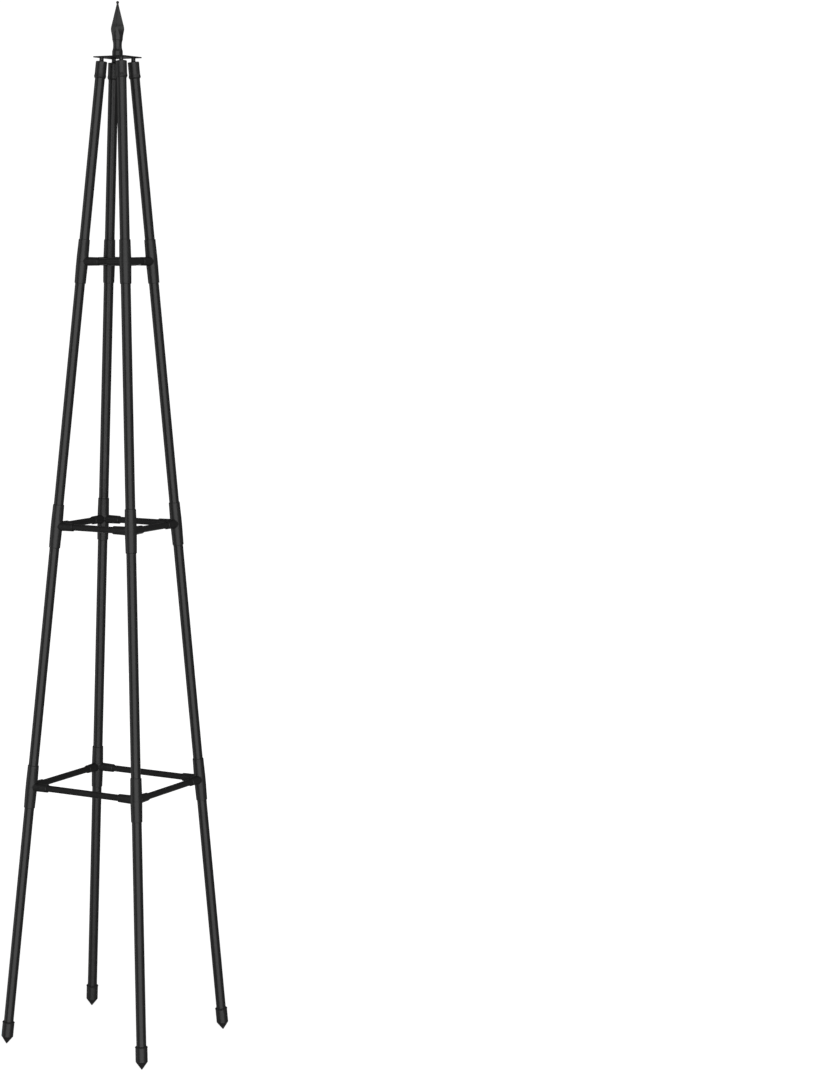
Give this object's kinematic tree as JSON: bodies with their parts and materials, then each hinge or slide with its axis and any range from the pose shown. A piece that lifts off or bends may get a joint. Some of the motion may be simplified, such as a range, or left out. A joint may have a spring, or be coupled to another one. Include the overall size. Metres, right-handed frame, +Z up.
{
  "type": "garden obelisk",
  "caption": "Tall four-legged tapering plant support of round tube, with square rings of thinner bars, pointed feet and a spearhead finial on a small plate.",
  "frame": {"origin": "on the upright centre line, level with the tips of the feet", "axes": "+Z up along the centre line; the sides of the square rings run along X and Y"},
  "size_m": [0.2964, 0.2964, 1.8],
  "materials": {
    "coated_tube": "satin black plastic coating on steel tube",
    "moulded_fitting": "fine-textured black moulded plastic",
    "painted_plate": "satin black powder coat on sheet steel",
    "painted_finial": "satin black paint on a casting",
    "screw": "blackened steel"
  },
  "bodies": {
    "root": {"leg_front_left_bottom": "coated_tube", "leg_front_left_lower": "coated_tube", "leg_front_left_upper": "coated_tube", "leg_front_left_top": "coated_tube", "foot_front_left": "moulded_fitting", "top_cap_front_left": "moulded_fitting", "leg_front_right_bottom": "coated_tube", "leg_front_right_lower": "coated_tube", "leg_front_right_upper": "coated_tube", "leg_front_right_top": "coated_tube", "foot_front_right": "moulded_fitting", "top_cap_front_right": "moulded_fitting", "leg_back_right_bottom": "coated_tube", "leg_back_right_lower": "coated_tube", "leg_back_right_upper": "coated_tube", "leg_back_right_top": "coated_tube", "foot_back_right": "moulded_fitting", "top_cap_back_right": "moulded_fitting", "leg_back_left_bottom": "coated_tube", "leg_back_left_lower": "coated_tube", "leg_back_left_upper": "coated_tube", "leg_back_left_top": "coated_tube", "foot_back_left": "moulded_fitting", "top_cap_back_left": "moulded_fitting", "crossbar_low_front": "coated_tube", "crossbar_low_right": "coated_tube", "crossbar_low_back": "coated_tube", "crossbar_low_left": "coated_tube", "connector_low_front_left": "moulded_fitting", "connector_low_front_right": "moulded_fitting", "connector_low_back_right": "moulded_fitting", "connector_low_back_left": "moulded_fitting", "crossbar_mid_front": "coated_tube", "crossbar_mid_right": "coated_tube", "crossbar_mid_back": "coated_tube", "crossbar_mid_left": "coated_tube", "connector_mid_front_left": "moulded_fitting", "connector_mid_front_right": "moulded_fitting", "connector_mid_back_right": "moulded_fitting", "connector_mid_back_left": "moulded_fitting", "crossbar_high_front": "coated_tube", "crossbar_high_right": "coated_tube", "crossbar_high_back": "coated_tube", "crossbar_high_left": "coated_tube", "connector_high_front_left": "moulded_fitting", "connector_high_front_right": "moulded_fitting", "connector_high_back_right": "moulded_fitting", "connector_high_back_left": "moulded_fitting", "top_plate": "painted_plate", "finial": "painted_finial", "finial_screw": "screw", "plate_screws": "screw"}
  },
  "joints": []
}
